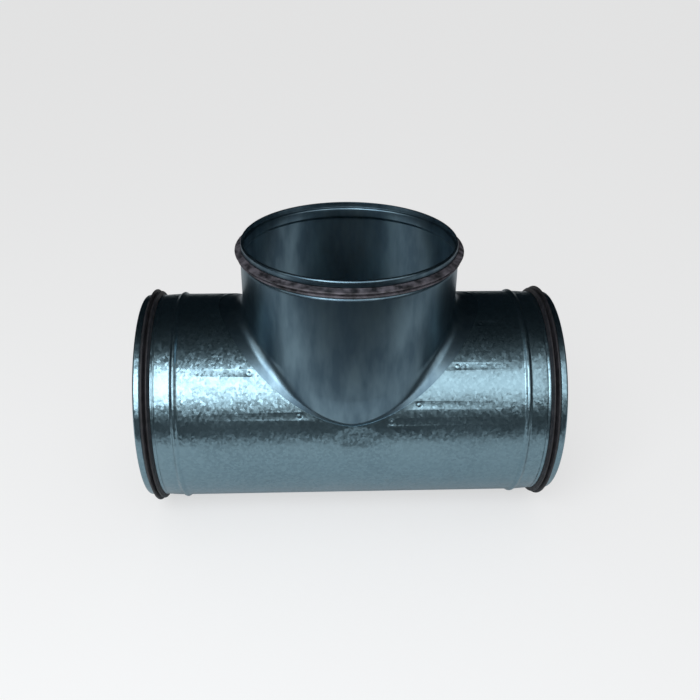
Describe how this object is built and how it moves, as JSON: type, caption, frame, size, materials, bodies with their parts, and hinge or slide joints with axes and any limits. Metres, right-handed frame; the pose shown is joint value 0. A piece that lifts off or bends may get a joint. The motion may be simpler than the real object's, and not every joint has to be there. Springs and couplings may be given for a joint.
{
  "type": "duct tee",
  "caption": "Equal 90 degree T-piece for round ventilation duct, galvanised steel, with a pressed saddle branch and a rubber lip seal at each spigot.",
  "frame": {"origin": "under the crossing of the run's axis and the branch's axis, at the height of the lowest points of the run's two seals", "axes": "+X along the run, +Z along the branch and out of its end"},
  "size_m": [0.39, 0.2084, 0.2682],
  "materials": {
    "galvanised_run": "hot-dip galvanised sheet with fine spangle, satin",
    "galvanised_saddle": "galvanised sheet smoothed and darkened by pressing, satin",
    "seal_rubber": "black EPDM, matt",
    "seal_rubber_dusty": "black EPDM with grey dust, matt"
  },
  "bodies": {
    "root": {"run_tube": "galvanised_run", "branch_saddle": "galvanised_saddle", "gasket_left": "seal_rubber", "gasket_right": "seal_rubber", "gasket_branch": "seal_rubber_dusty"}
  },
  "joints": []
}
